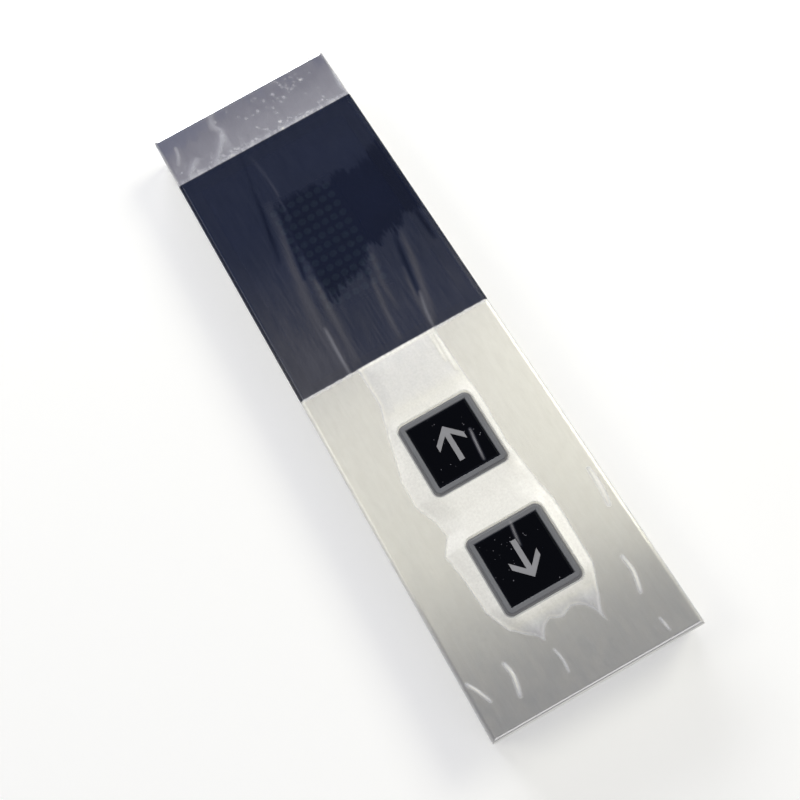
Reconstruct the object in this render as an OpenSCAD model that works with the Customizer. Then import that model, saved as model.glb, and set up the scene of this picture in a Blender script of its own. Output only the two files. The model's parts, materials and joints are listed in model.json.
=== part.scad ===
// Landing call panel for a lift: a folded stainless faceplate with a smoked display window
// and two square push buttons, hung on a back plate that is screwed to the wall.
// The wall is the plane y = 0, the face looks along -y, and z is up.

/* [Panel] */
// Width of the panel
panel_w = 100; // [94:1:130]
// Height of the panel
panel_h = 336; // [330:1:400]
// Depth from the wall to the front face
panel_d = 22; // [21:0.5:30]
// Thickness of the stainless sheet
sheet_t = 1.5; // [1:0.1:2]
// Outer radius of the folded edges
bend_r = 2; // [1.2:0.1:4]
// Shadow gap between the faceplate's rear edge and the wall
wall_gap = 0.8; // [0.4:0.1:2]

/* [Display window] */
// Height of the steel strip above the window
top_strip = 31.2; // [28:0.2:40]
// Height of the slot that the window fills
window_h = 135; // [132:1:145]
// Thickness of the smoked acrylic
window_t = 4; // [3:0.5:5]
// Gap between the window and the steel above and below it
window_gap = 0.15; // [0.1:0.05:0.4]
// Chamfer on the window's long edges
window_chamfer = 0.6; // [0.2:0.1:1]
// Thickness of the adhesive tape behind the window
tape_t = 0.5; // [0.3:0.1:1]
// Width of the adhesive tape
tape_w = 6; // [4:1:10]

/* [Display] */
// Thickness of the carrier that the window is taped to
carrier_t = 1.2; // [0.8:0.1:1.6]
// Lap of the carrier's flanges behind the steel
carrier_lap = 8; // [7:0.5:9]
// Columns of dots in the matrix
dot_cols = 7; // [5:1:8]
// Rows of dots in the matrix
dot_rows = 11; // [7:1:12]
// Distance between columns
dot_pitch_x = 5; // [4.5:0.1:5.5]
// Distance between rows
dot_pitch_y = 5.9; // [5:0.1:6.2]
// Diameter of a dot
dot_d = 4; // [3:0.1:4.2]
// Border of the matrix round its dots
matrix_border = 1.5; // [1:0.1:3]
// Gap between the matrix and the window
matrix_gap = 0.8; // [0.3:0.1:1.5]
// Width of the display board
board_w = 84; // [80:1:90]
// Height of the display board
board_h = 118; // [100:1:122]
// Thickness of every circuit board
board_t = 1.6; // [1:0.1:2]

/* [Buttons] */
// Distance from the panel's top to the middle of the up button
up_from_top = 219; // [212:0.5:230]
// Distance between the two buttons
button_pitch = 59; // [56:0.5:66]
// Side of the square cap
cap_side = 30; // [26:0.5:32]
// Gap between the cap and its bezel
cap_gap = 0.3; // [0.2:0.05:0.5]
// Travel of a button
travel = 1.2; // [0.6:0.1:1.5]
// Width of the bezel's rim
rim_w = 3.2; // [3:0.1:5]
// Height of the bezel above the face
rim_rise = 2.4; // [1.8:0.1:3.5]
// Height of the ledge round the rim
ledge_rise = 1.1; // [0.6:0.1:1.5]
// Width of the ledge round the rim
ledge_w = 1; // [0.6:0.1:1.4]
// Small chamfer on the bezel's edges
rim_chamfer = 0.3; // [0.1:0.05:0.5]
// Drop of the cap below the bezel's front
cap_drop = 0.2; // [0:0.05:0.5]
// Thickness of the cap's front
cap_t = 2; // [1.5:0.1:2.5]
// Chamfer on the cap's front edges
cap_chamfer = 0.4; // [0.2:0.1:0.6]
// Radius of the cap's corners
cap_corner = 0.6; // [0.3:0.1:1]
// Depth of the cap's skirt behind its front
skirt_d = 4; // [2:0.5:5]
// Wall of the moulded pieces
mould_t = 1.5; // [1.2:0.1:2]
// Length of the arrow
arrow_len = 17.8; // [12:0.2:20]
// Width of the arrow across its wings
arrow_w = 13.8; // [10:0.2:16]
// Width of the arrow's stem
arrow_stem = 2.5; // [1.5:0.1:3.5]
// Length of the cut at the end of each wing
arrow_cut = 3.3; // [2:0.1:4.5]
// Outer diameter of a return spring
spring_d = 3.4; // [2.8:0.1:3.6]
// Wire diameter of a return spring
spring_wire = 0.45; // [0.3:0.05:0.6]
// Turns of a return spring
spring_turns = 3.5; // [2.5:0.5:4]

/* [Back plate] */
// Thickness of the back plate
back_t = 1.5; // [1:0.1:2]
// Height of the back plate's side flanges from the wall
back_flange = 7; // [5:0.5:8]
// Gap between the back plate and the faceplate's sides
back_gap = 0.5; // [0.3:0.1:1]
// Distance between the wall screws across the panel
wall_screw_x = 60; // [40:1:70]
// Distance between the wall screws up the panel
wall_screw_y = 260; // [250:1:276]
// Diameter of the wall screw holes
wall_screw_d = 5; // [4:0.1:6.5]
// Clear diameter of the cable entry
entry_d = 18; // [12:0.5:20]
// Wall of the grommet in the cable entry
grommet_wall = 3; // [2:0.1:4]
// Width of each hanging tongue
tongue_w = 14; // [10:1:20]
// Distance between the two hanging tongues
tongue_pitch = 56; // [40:1:60]
// Height that a tongue holds the hanger
tongue_hold = 5.3; // [4:0.1:6]
// Distance between the two lock screws in the bottom edge
lock_pitch = 60; // [40:1:70]

/* [Fasteners and leads] */
// Diameter of the small machine screws and studs
screw_d = 3; // [2.5:0.1:3.5]
// Radial clearance round screws, studs and spigots
screw_fit = 0.1; // [0.05:0.05:0.3]
// Width across the flats of the nuts
nut_flats = 5.5; // [5:0.1:6]
// Height of the nuts
nut_h = 2.4; // [1.8:0.1:3]
// Length of the welded studs
stud_len = 6.5; // [6:0.5:8]
// Diameter of a lead
lead_d = 2; // [1.2:0.1:2.2]
// Radius of a lead's bends
lead_bend = 5; // [4:0.5:6]

/* [Hidden] */
$fn = 64;

// Margin by which a cutting tool passes the faces that it cuts
cut = 1;
// Running gap round moulded pieces that slide or snap together
mould_gap = 0.2;
// Smallest inner radius of a fold
fold_min = 0.2;

// Heights on the face, measured up from the panel's middle
window_top = panel_h / 2 - top_strip;
window_mid = window_top - window_h / 2;
window_bottom = window_top - window_h;
up_y = panel_h / 2 - up_from_top;
down_y = up_y - button_pitch;

// Depths behind the front face
plate_front = panel_d - back_t;
connector_h = 5.6;
connector_room = 0.5;
board_back = plate_front - connector_room - connector_h;
board_front = board_back - board_t;
carrier_front = window_t + tape_t;
carrier_back = carrier_front + carrier_t;
lead_depth = board_back + connector_h / 2;

// Button stack, from the springs towards the front
flange_t = 1.2;
flange_room = 1.4;
sleeve_end = board_front - flange_room - travel - flange_t;
base_floor = mould_t;
base_back = board_back + base_floor;
cap_front = cap_drop - rim_rise;
cap_back = cap_front + cap_t;
guide_top_t = 1.5;
switch_h = 3.8;
switch_side = 6.2;
stem_rise = 1.4;
stem_d = 2.9;
stem_gap = 0.3;
switch_top = board_front - switch_h;
stem_tip = switch_top - stem_rise;
stem_sunk = 1.2;
stem_end = switch_top + stem_sunk;
led_h = 1.9;
led_size = [3.2, 2.8];
led_pitch = 16;

// Button widths, each built on the one inside it
opening = cap_side + 2 * cap_gap;
sleeve_side = opening + 2 * mould_t;
cutout_side = sleeve_side + 2 * mould_gap;
base_side = cutout_side + 2 * mould_t;
flange_side = cutout_side - 4 * mould_gap;
cap_inner = cap_side - 2 * mould_t;
guide_side = cap_inner - 2 * mould_gap;
guide_inner = guide_side - 2 * mould_t;
switch_board_side = cutout_side - 3 * mould_gap;
entry_y = (window_bottom - carrier_lap + up_y + base_side / 2) / 2;
spring_place = (guide_inner + flange_side) / 4;
corner_notch = switch_board_side / 2 - spring_place + spring_d / 2 + mould_gap;
post_d = 4;
stake_d = 2;
stake_head = 0.6;
stake_rim = 0.5;
stake_x = guide_inner / 2 - stake_d;
ear_t = 2.5;
ear_w = 9;
ear_x = base_side / 2 + ear_w / 2 + mould_gap;
barb_w = 6;
barb_d = 3;
barb_rise = 1;
barb_x = cap_side / 4;
barb_end = 1;
barb_start = sleeve_end - barb_d - barb_end;

// Screws in the corners of the display board
board_edge = 4;
screw_head_d = 5.4;
screw_head_h = 1.8;
screw_grip = 4;

// Connectors of the button boards and the leads that reach them
connector_size = [10, 8];
connector_wall = 1;
connector_place = [5, 9];
plug_size = [connector_size.x - 2 * connector_wall - 2 * mould_gap, 6];
plug_h = connector_h - 2 * connector_wall - 2 * mould_gap;
socket_gap = 0.5;
last_socket = board_w / 2 - board_edge - screw_head_d / 2 - socket_gap - connector_size.x / 2;
socket_x = [last_socket - connector_size.x - socket_gap, last_socket];
socket_y = window_mid - board_h / 2 + connector_size.y / 2;
wall_connector_size = [18, 9];
wall_connector_x = -22;

// Chips on the back of the display board, set out on one pitch
chip_pitch = 18;
controller_size = [10, 10, 1.5];
driver_size = [6, 10, 1.6];
regulator_size = [7, 6, 2.2];

// Display stack
matrix_w = dot_cols * dot_pitch_x + 2 * matrix_border;
matrix_h = dot_rows * dot_pitch_y + 2 * matrix_border;
matrix_front = window_t + matrix_gap;
matrix_fit = 1;
lens_t = 1.2;
dot_fit = 0.05;
dot_drop = 0.2;
carrier_w = panel_w - 2 * sheet_t - 2 * back_gap;
web_gap = 0.5;
standoff_d = 5;
spigot_d = 3.8;
stud_x = 36;
stud_y = web_gap + carrier_t + (carrier_lap - web_gap - carrier_t) / 2;

// Back plate, hanger and lock screws
back_w = panel_w - 2 * sheet_t - 2 * back_gap;
back_r = 2;
lift_room = 0.7;
top_room = tongue_hold + lift_room;
end_gap = 0.3;
back_bottom = -panel_h / 2 + sheet_t + end_gap;
back_top = panel_h / 2 - sheet_t - top_room;
hanger_t = 1.2;
hanger_w = 84;
hanger_clear = 2;
tongue_reach = 5.2;
tongue_slit = 0.5;
tongue_y = window_top + carrier_lap + hanger_clear;
tongue_seat = tongue_y + back_t;
lip_back = plate_front - tongue_reach;
lip_front = lip_back - back_t;
hanger_top = tongue_seat + tongue_hold + lift_room + hanger_t + hanger_clear;
hanger_leg = 10;
hook_back = (lip_back + plate_front + hanger_t) / 2;
lock_flange = 14;
lock_foot = 12;
lock_from_wall = 8;
lock_depth = panel_d - lock_from_wall;
lock_head_d = 5.6;
lock_head_h = (lock_head_d - screw_d) / 2;
lock_len = 7;
grommet_flange = 2;
grommet_rim = 2;

// Places a piece drawn on the face: x right, y up, z towards the viewer
module on_face(y = 0) {
  translate([0, -panel_d, y])
    rotate([90, 0, 0])
      children();
}

// Gives a flat outline the thickness between two depths behind the face
module layer(from, to) {
  translate([0, 0, -to])
    linear_extrude(to - from)
      children();
}

// A round bar or hole between two depths behind the face
module rod(d, from, to) {
  translate([0, 0, -to])
    cylinder(h = to - from, d = d);
}

// Extrudes an outline drawn in y and z along x
module along_x(len) {
  rotate([90, 0, 90])
    linear_extrude(len, center = true)
      children();
}

// Extrudes an outline drawn in x and z along y
module along_y(len) {
  rotate([90, 0, 0])
    linear_extrude(len, center = true)
      children();
}

// Rectangle between two heights and two depths, for sections drawn in y and z
module section(low, high, from, to) {
  translate([low, -to])
    square([high - low, to - from]);
}

module round_rect(w, h, r) {
  square([w - 2 * r, h], center = true);
  square([w, h - 2 * r], center = true);
  for (sx = [-1, 1], sy = [-1, 1])
    translate([sx * (w / 2 - r), sy * (h / 2 - r)])
      circle(r);
}

// Section of a folded tray: two rounded corners at the front, square at the back
module fold_section(w, d, r) {
  translate([-w / 2, -d])
    square([w, d - r]);
  translate([r - w / 2, -d])
    square([w - 2 * r, d]);
  for (s = [-1, 1])
    translate([s * (w / 2 - r), -r])
      circle(r);
}

// Solid tray with its four front edges rounded
module tray(w, h, d, r) {
  intersection() {
    along_y(h)
      fold_section(w, d, r);
    along_x(w)
      fold_section(h, d, r);
  }
}

// Sweeps a rim section round a square opening, with round outer corners
module rim_sweep(side) {
  for (turn = [0 : 90 : 270])
    rotate(turn) {
      translate([side / 2, 0, 0])
        along_y(side)
          children();
      translate([side / 2, side / 2, 0])
        rotate_extrude(angle = 90)
          children();
    }
}

// Tube of square section between two depths
module square_tube(outer, inner, from, to) {
  layer(from, to)
    difference() {
      square(outer, center = true);
      square(inner, center = true);
    }
}

module at_buttons() {
  for (y = [up_y, down_y])
    translate([0, y, 0])
      children();
}

module at_carrier_studs() {
  for (sx = [-1, 1], y = [window_top + stud_y, window_bottom - stud_y])
    translate([sx * stud_x, y, 0])
      children();
}

module at_ear_studs() {
  at_buttons()
    for (sx = [-1, 1])
      translate([sx * ear_x, 0, 0])
        children();
}

module at_board_corners() {
  for (sx = [-1, 1], sy = [-1, 1])
    translate([sx * (board_w / 2 - board_edge), window_mid + sy * (board_h / 2 - board_edge), 0])
      children();
}

module at_lock_screws() {
  for (sx = [-1, 1])
    translate([sx * lock_pitch / 2, -panel_h / 2, -lock_depth])
      rotate([-90, 0, 0])
        children();
}

// Faceplate: a folded tray, open at the wall, with the window slot and two square cut-outs
module faceplate() {
  inner_r = max(bend_r - sheet_t, fold_min);
  color("#c9c8c4")
    on_face()
      difference() {
        tray(panel_w, panel_h, panel_d - wall_gap, bend_r);
        translate([0, 0, -sheet_t])
          tray(panel_w - 2 * sheet_t, panel_h - 2 * sheet_t, panel_d, inner_r);
        translate([0, window_mid, 0])
          layer(-cut, window_t)
            square([panel_w + 2 * cut, window_h], center = true);
        at_buttons()
          layer(-cut, sheet_t + cut)
            square(cutout_side, center = true);
        at_lock_screws() {
          cylinder(h = lock_head_h + screw_fit, d1 = lock_head_d + 2 * screw_fit, d2 = screw_d);
          cylinder(h = sheet_t + cut, d = screw_d + 2 * screw_fit);
        }
      }
}

// Window: a full-width acrylic plate, flush with the steel
module display_window() {
  half = panel_w / 2;
  color("#1c222e")
    on_face(window_mid)
      along_y(window_h - 2 * window_gap)
        polygon([
          [-half, -window_t],
          [half, -window_t],
          [half, -window_chamfer],
          [half - window_chamfer, 0],
          [window_chamfer - half, 0],
          [-half, -window_chamfer]
        ]);
}

module window_tape() {
  outer = [carrier_w - 2 * web_gap, window_h - 2 * web_gap];
  color("#3a3a3c")
    on_face(window_mid)
      layer(window_t, carrier_front)
        difference() {
          square(outer, center = true);
          square([outer.x - 2 * tape_w, outer.y - 2 * tape_w], center = true);
        }
}

// Carrier: a hat section whose flanges lie behind the steel above and below the window
module window_carrier() {
  web = window_h / 2 + web_gap;
  end = window_h / 2 + carrier_lap;
  color("#2a2b2d")
    on_face()
      difference() {
        translate([0, window_mid, 0])
          along_x(carrier_w) {
            section(-web - carrier_t, web + carrier_t, carrier_front, carrier_back);
            for (s = [0, 1])
              mirror([s, 0]) {
                section(web, web + carrier_t, sheet_t, carrier_back);
                section(web, end, sheet_t, sheet_t + carrier_t);
              }
          }
        translate([0, window_mid, 0])
          layer(sheet_t, carrier_back + cut)
            square([matrix_w + 2 * matrix_fit, matrix_h + 2 * matrix_fit], center = true);
        at_carrier_studs()
          rod(screw_d + 4 * screw_fit, 0, carrier_back);
        at_board_corners()
          rod(spigot_d + 2 * screw_fit, carrier_front - cut, carrier_back + cut);
      }
}

module weld_studs() {
  color("#b9a27c")
    on_face() {
      at_carrier_studs()
        rod(screw_d, sheet_t, sheet_t + stud_len);
      at_ear_studs()
        rod(screw_d, sheet_t, sheet_t + stud_len);
    }
}

module nut(from) {
  difference() {
    layer(from, from + nut_h)
      circle(d = nut_flats / cos(30), $fn = 6);
    rod(screw_d + 2 * screw_fit, from - cut, from + nut_h + cut);
  }
}

module stud_nuts() {
  color("#c6c8ca")
    on_face() {
      at_carrier_studs()
        nut(sheet_t + carrier_t);
      at_ear_studs()
        nut(sheet_t + ear_t);
    }
}

module at_dots() {
  for (col = [0 : dot_cols - 1], row = [0 : dot_rows - 1])
    translate([(col - (dot_cols - 1) / 2) * dot_pitch_x, (row - (dot_rows - 1) / 2) * dot_pitch_y, 0])
      children();
}

// Reflector: the black grid of the dot matrix, open behind for its lens
module matrix_reflector() {
  color("#202124")
    on_face(window_mid)
      difference() {
        layer(matrix_front, board_front)
          square([matrix_w, matrix_h], center = true);
        layer(board_front - lens_t, board_front + cut)
          square([matrix_w - 2 * matrix_border, matrix_h - 2 * matrix_border], center = true);
        at_dots()
          rod(dot_d + 2 * dot_fit, matrix_front - cut, board_front);
      }
}

// Lens: one resin plate whose round pegs fill the holes of the reflector
module matrix_lens() {
  plate_w = matrix_w - 2 * matrix_border - 2 * dot_fit;
  plate_h = matrix_h - 2 * matrix_border - 2 * dot_fit;
  color("#d8d8d2")
    on_face(window_mid) {
      layer(board_front - lens_t, board_front)
        square([plate_w, plate_h], center = true);
      at_dots()
        rod(dot_d, matrix_front + dot_drop, board_front);
    }
}

module display_board() {
  color("#1f5a3a")
    on_face()
      difference() {
        translate([0, window_mid, 0])
          layer(board_front, board_back)
            square([board_w, board_h], center = true);
        at_board_corners()
          rod(screw_d + 2 * screw_fit, board_front - cut, board_back + cut);
      }
}

// Standoffs: black nylon, set in the carrier and bored for the board screws
module board_standoffs() {
  color("#222224")
    on_face()
      at_board_corners()
        difference() {
          union() {
            rod(standoff_d, carrier_back, board_front);
            rod(spigot_d, carrier_front, board_front);
          }
          rod(screw_d + 2 * screw_fit, board_front - screw_grip - cut, board_front + cut);
        }
}

module board_screws() {
  color("#c6c8ca")
    on_face()
      at_board_corners() {
        rod(screw_head_d, board_back, board_back + screw_head_h);
        rod(screw_d, board_front - screw_grip, board_back + screw_head_h);
      }
}

// One chip on the back of the display board, placed in pitches from the board's middle
module chip(place, size) {
  translate(chip_pitch * [place.x, place.y, 0])
    layer(board_back, board_back + size.z)
      square([size.x, size.y], center = true);
}

module board_chips() {
  color("#26272a")
    on_face(window_mid) {
      chip([0, 1], controller_size);
      for (place = [[-1, 1], [1, 1], [0, -0.5]])
        chip(place, driver_size);
      chip([-1.3, -1.1], regulator_size);
    }
}

// Header on the back of a board, with its mouth on the +y side
module header(size) {
  mouth = [size.x - 2 * connector_wall, size.y];
  difference() {
    layer(board_back, board_back + connector_h)
      square(size, center = true);
    translate([0, connector_wall, 0])
      layer(board_back + connector_wall, board_back + connector_h - connector_wall)
        square(mouth, center = true);
  }
}

module lead_sockets() {
  color("#e4e0d2")
    on_face(socket_y)
      for (x = socket_x)
        translate([x, 0, 0])
          mirror([0, 1, 0])
            header(connector_size);
}

module wall_connector() {
  color("#e4e0d2")
    on_face(window_mid - board_h / 2 + wall_connector_size.y / 2)
      translate([wall_connector_x, 0, 0])
        mirror([0, 1, 0])
          header(wall_connector_size);
}

// Quarter bend of a lead, drawn from 0 to 90 degrees
module lead_elbow() {
  rotate_extrude(angle = 90)
    translate([lead_bend, 0])
      circle(d = lead_d);
}

module lead_run_y(low, high) {
  translate([0, low, 0])
    rotate([-90, 0, 0])
      cylinder(h = high - low, d = lead_d);
}

// Lead from a socket on the display board down to a button's connector, with a plug on each end
module lead(start_x, button_y) {
  plug_seat = connector_wall - connector_size.y / 2 + mould_gap;
  plug_top = socket_y - plug_seat;
  plug_low = button_y + connector_place.y + plug_seat;
  end_x = connector_place.x;
  turn_y = button_y + base_side / 2 + lead_bend;
  translate([0, 0, -lead_depth]) {
    translate([start_x, 0, 0])
      lead_run_y(turn_y + lead_bend, plug_top - plug_size.y);
    translate([start_x - lead_bend, turn_y + lead_bend, 0])
      rotate(-90)
        lead_elbow();
    translate([end_x + lead_bend, turn_y, 0])
      rotate([0, 90, 0])
        cylinder(h = start_x - end_x - 2 * lead_bend, d = lead_d);
    translate([end_x + lead_bend, turn_y - lead_bend, 0])
      rotate(90)
        lead_elbow();
    translate([end_x, 0, 0])
      lead_run_y(plug_low + plug_size.y, turn_y - lead_bend);
    for (p = [[start_x, plug_top - plug_size.y / 2], [end_x, plug_low + plug_size.y / 2]])
      translate([p.x, p.y, 0])
        cube([plug_size.x, plug_size.y, plug_h], center = true);
  }
}

module up_lead() {
  color("#d9d4c4")
    on_face()
      lead(socket_x[0], up_y);
}

module down_lead() {
  color("#d9d4c4")
    on_face()
      lead(socket_x[1], down_y);
}

// Hanger: welded behind the top strip, its rear leg drops behind the back plate's tongues
module hanger_bar() {
  color("#aab0b4")
    on_face()
      along_x(hanger_w) {
        section(hanger_top - hanger_leg, hanger_top, sheet_t, sheet_t + hanger_t);
        section(hanger_top - hanger_t, hanger_top, sheet_t, hook_back);
        section(tongue_seat, hanger_top, hook_back - hanger_t, hook_back);
      }
}

// Back plate: a shallow folded channel with two lanced tongues
module back_plate() {
  inner_r = max(back_r - back_t, fold_min);
  mid = (back_top + back_bottom) / 2;
  color("#aab0b4")
    on_face()
      difference() {
        union() {
          translate([0, mid, -panel_d])
            along_y(back_top - back_bottom)
              mirror([0, 1])
                difference() {
                  fold_section(back_w, back_flange, back_r);
                  translate([0, -back_t])
                    fold_section(back_w - 2 * back_t, back_flange, inner_r);
                }
          for (s = [-1, 1])
            translate([s * tongue_pitch / 2, 0, 0])
              along_x(tongue_w) {
                section(tongue_y, tongue_seat, lip_front, panel_d);
                section(tongue_y, tongue_seat + tongue_hold, lip_front, lip_back);
              }
        }
        for (s = [-1, 1])
          translate([s * tongue_pitch / 2, tongue_seat + (tongue_reach + back_t) / 2, 0])
            layer(plate_front - cut, panel_d + cut)
              square([tongue_w + 2 * tongue_slit, tongue_reach + back_t], center = true);
        for (sx = [-1, 1], sy = [-1, 1])
          translate([sx * wall_screw_x / 2, sy * wall_screw_y / 2, 0])
            rod(wall_screw_d, plate_front - cut, panel_d + cut);
        translate([0, entry_y, 0])
          rod(entry_d + 2 * grommet_wall, plate_front - cut, panel_d + cut);
      }
}

// Lock bracket: an angle welded to the foot of the back plate, for the screws in the bottom edge
module lock_bracket() {
  color("#aab0b4")
    on_face()
      difference() {
        along_x(back_w - 4 * back_t) {
          section(back_bottom, back_bottom + lock_foot, plate_front - back_t, plate_front);
          section(back_bottom, back_bottom + back_t, panel_d - lock_flange, plate_front);
        }
        at_lock_screws()
          cylinder(h = lock_len, d = screw_d + 2 * screw_fit);
      }
}

// Grommet: a rubber bush pushed into the back plate from inside
module cable_grommet() {
  body_d = entry_d + 2 * grommet_wall - 2 * screw_fit;
  color("#1d1d1e")
    on_face(entry_y)
      difference() {
        union() {
          rod(body_d + 2 * grommet_rim, plate_front - grommet_flange, plate_front);
          rod(body_d, plate_front - grommet_flange, panel_d);
        }
        rod(entry_d, plate_front - grommet_flange - cut, panel_d + cut);
      }
}

module lock_screws() {
  color("#c6c8ca")
    on_face()
      at_lock_screws() {
        cylinder(h = lock_head_h, d1 = lock_head_d, d2 = screw_d);
        cylinder(h = lock_len, d = screw_d);
      }
}

// Bezel: a stepped rim in front of the steel and a square sleeve with snap barbs behind it
module bezel() {
  color("#77787c") {
    rim_sweep(opening)
      polygon([
        [0, 0],
        [rim_w, 0],
        [rim_w, ledge_rise - rim_chamfer],
        [rim_w - rim_chamfer, ledge_rise],
        [rim_w - ledge_w, ledge_rise],
        [rim_w - ledge_w, rim_rise - rim_chamfer],
        [rim_w - ledge_w - rim_chamfer, rim_rise],
        [rim_chamfer, rim_rise],
        [0, rim_rise - rim_chamfer]
      ]);
    square_tube(sleeve_side, opening, 0, sleeve_end);
    for (s = [0, 1], x = [-barb_x, barb_x])
      mirror([0, s, 0])
        translate([x, sleeve_side / 2, 0])
          along_x(barb_w)
            polygon([[0, -barb_start], [barb_rise, -barb_start], [0, -barb_start - barb_d]]);
  }
}

// Base: the moulded box behind the steel, with ears for the studs and windows for the barbs
module base() {
  color("#2b2c2f")
    difference() {
      union() {
        square_tube(base_side, cutout_side, sheet_t, base_back);
        layer(board_back, base_back)
          square(base_side, center = true);
        for (s = [-1, 1]) {
          layer(sheet_t, sheet_t + ear_t) {
            translate([s * ear_x, 0])
              circle(d = ear_w);
            translate([s * (base_side / 2 + ear_x - mould_t) / 2, 0])
              square([ear_x - base_side / 2 + mould_t, ear_w], center = true);
          }
          translate([s * stake_x, -stake_x, 0]) {
            rod(stake_d, board_front - stake_head, base_back);
            rod(stake_d + 2 * stake_rim, board_front - stake_head, board_front);
          }
        }
      }
      for (s = [-1, 1]) {
        translate([s * ear_x, 0, 0])
          rod(screw_d + 4 * screw_fit, 0, sheet_t + ear_t + cut);
        for (x = [-barb_x, barb_x])
          translate([x, s * base_side / 2, 0])
            layer(barb_start - mould_gap, barb_start + barb_d + mould_gap)
              square([barb_w + 2 * mould_gap, 4 * mould_t], center = true);
      }
      translate([connector_place.x, connector_place.y, 0])
        layer(board_back - cut, base_back + cut)
          square([connector_size.x + 2 * mould_gap, connector_size.y + 2 * mould_gap], center = true);
    }
}

// Board of a button, notched at its corners for the springs
module switch_board() {
  half = switch_board_side / 2;
  color("#1f5a3a")
    difference() {
      layer(board_front, board_back)
        square(switch_board_side, center = true);
      for (sx = [-1, 1], sy = [-1, 1])
        translate([sx * half, sy * half, 0])
          layer(board_front - cut, board_back + cut)
            square(2 * corner_notch, center = true);
      for (s = [-1, 1])
        translate([s * stake_x, -stake_x, 0])
          rod(stake_d + 2 * screw_fit, board_front - cut, board_back + cut);
    }
}

module switch_body() {
  color("#303134")
    difference() {
      layer(switch_top, board_front)
        square(switch_side, center = true);
      rod(stem_d + 2 * stem_gap, switch_top - cut, stem_end + travel + stem_gap);
    }
}

module switch_stem() {
  color("#b03a2e")
    rod(stem_d, stem_tip, stem_end);
}

module leds() {
  color("#e9e6d8")
    for (turn = [0 : 90 : 270])
      rotate(turn)
        translate([led_pitch / 2, 0, 0])
          layer(board_front - led_h, board_front)
            square(led_size, center = true);
}

module connector() {
  color("#e4e0d2")
    translate([connector_place.x, connector_place.y, 0])
      header(connector_size);
}

// One ring of points round the wire of a spring, at a turn angle and a height
spring_sides = 6;
spring_steps = 12;
function wire_ring(angle, z) = [
  for (side = [0 : spring_sides - 1])
    let (around = side * 360 / spring_sides, r = (spring_d - spring_wire + spring_wire * cos(around)) / 2)
      [r * cos(angle), r * sin(angle), z + spring_wire / 2 * sin(around)]
];

// Compression spring standing on z = 0
module coil(len) {
  rings = ceil(spring_turns * spring_steps);
  climb = len - spring_wire;
  points = [
    for (i = [0 : rings])
      each wire_ring(i * 360 / spring_steps, spring_wire / 2 + climb * i / rings)
  ];
  sides = [
    for (i = [0 : rings - 1], s = [0 : spring_sides - 1])
      let (n = (s + 1) % spring_sides, a = i * spring_sides, b = a + spring_sides)
        [a + s, b + s, b + n, a + n]
  ];
  first = [for (s = [0 : spring_sides - 1]) s];
  last = [for (s = [spring_sides - 1 : -1 : 0]) rings * spring_sides + s];
  polyhedron(points, concat([first], sides, [last]));
}

// Return springs: one in each corner, between the base's floor and the light guide's flange
module return_springs() {
  seat_gap = 0.05;
  len = board_back - sleeve_end - flange_t - 2 * seat_gap;
  color("#b8babd")
    for (sx = [-1, 1], sy = [-1, 1])
      translate([sx * spring_place, sy * spring_place, seat_gap - board_back])
        coil(len);
}

// Arrow outline pointing up, its wings at 45 degrees and cut upright
module arrow_outline() {
  tip = arrow_len / 2;
  wing = arrow_w / 2;
  stem = arrow_stem / 2;
  polygon([
    [0, tip],
    [wing, tip - wing],
    [wing, tip - wing - arrow_cut],
    [stem, tip - stem - arrow_cut],
    [stem, -tip],
    [-stem, -tip],
    [-stem, tip - stem - arrow_cut],
    [-wing, tip - wing - arrow_cut],
    [-wing, tip - wing]
  ]);
}

// Section of the cap's front, the same across and up
module cap_section() {
  half = cap_side / 2;
  polygon([
    [-half, -cap_back],
    [half, -cap_back],
    [half, -cap_front - cap_chamfer],
    [half - cap_chamfer, -cap_front],
    [cap_chamfer - half, -cap_front],
    [-half, -cap_front - cap_chamfer]
  ]);
}

// Outline of the cap, with its small corner radius
module cap_outline() {
  round_rect(cap_side, cap_side, cap_corner);
}

// Cap: a black shell with chamfered edges, its front pierced by the arrow
module cap() {
  color("#08090b") {
    difference() {
      intersection() {
        along_y(cap_side)
          cap_section();
        along_x(cap_side)
          cap_section();
        layer(cap_front, cap_back)
          cap_outline();
      }
      layer(cap_front - cut, cap_back + cut)
        arrow_outline();
    }
    layer(cap_back, cap_back + skirt_d)
      difference() {
        cap_outline();
        square(cap_inner, center = true);
      }
  }
}

module arrow() {
  color("#a9a9ac")
    layer(cap_front, cap_back)
      arrow_outline();
}

// Light guide: carries the cap, stops against the bezel's sleeve and presses the switch
module light_guide() {
  color("#e6e7e4") {
    layer(cap_back, cap_back + guide_top_t)
      square(guide_side, center = true);
    square_tube(guide_side, guide_inner, cap_back, sleeve_end + flange_t);
    square_tube(flange_side, guide_inner, sleeve_end, sleeve_end + flange_t);
    rod(post_d, cap_back, stem_tip);
  }
}

// Up button
module up_bezel() on_face(up_y) bezel();
module up_base() on_face(up_y) base();
module up_switch_board() on_face(up_y) switch_board();
module up_switch_body() on_face(up_y) switch_body();
module up_leds() on_face(up_y) leds();
module up_connector() on_face(up_y) connector();
module up_return_springs() on_face(up_y) return_springs();
module up_cap() on_face(up_y) cap();
module up_arrow() on_face(up_y) arrow();
module up_light_guide() on_face(up_y) light_guide();
module up_switch_stem() on_face(up_y) switch_stem();

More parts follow.
